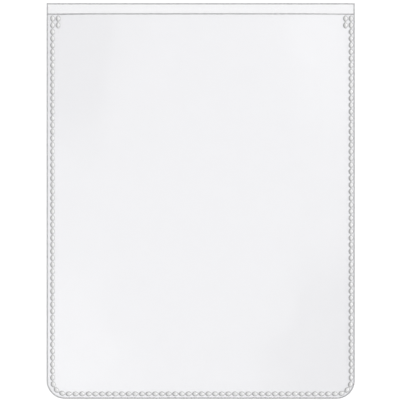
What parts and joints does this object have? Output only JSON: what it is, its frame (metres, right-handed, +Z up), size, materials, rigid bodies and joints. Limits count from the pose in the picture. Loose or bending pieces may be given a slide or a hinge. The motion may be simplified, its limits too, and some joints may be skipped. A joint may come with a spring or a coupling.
{
  "type": "protective document sleeve",
  "caption": "Clear vinyl document sleeve of two sheets heat-sealed round three sides by a chain of small ovals, with an open mouth and a lip.",
  "frame": {"origin": "under the middle of the back sheet, on the surface that the sleeve lies on", "axes": "+X across the sleeve to the right, +Y up the sleeve to its mouth, +Z up out of the front sheet"},
  "size_m": [0.236, 0.303, 0.0069],
  "materials": {
    "film": "clear gloss",
    "weld": "translucent gloss"
  },
  "bodies": {
    "root": {"back_sheet": "film", "front_sheet": "film", "seam_weld": "weld", "left_mouth_weld": "weld", "right_mouth_weld": "weld"}
  },
  "joints": []
}
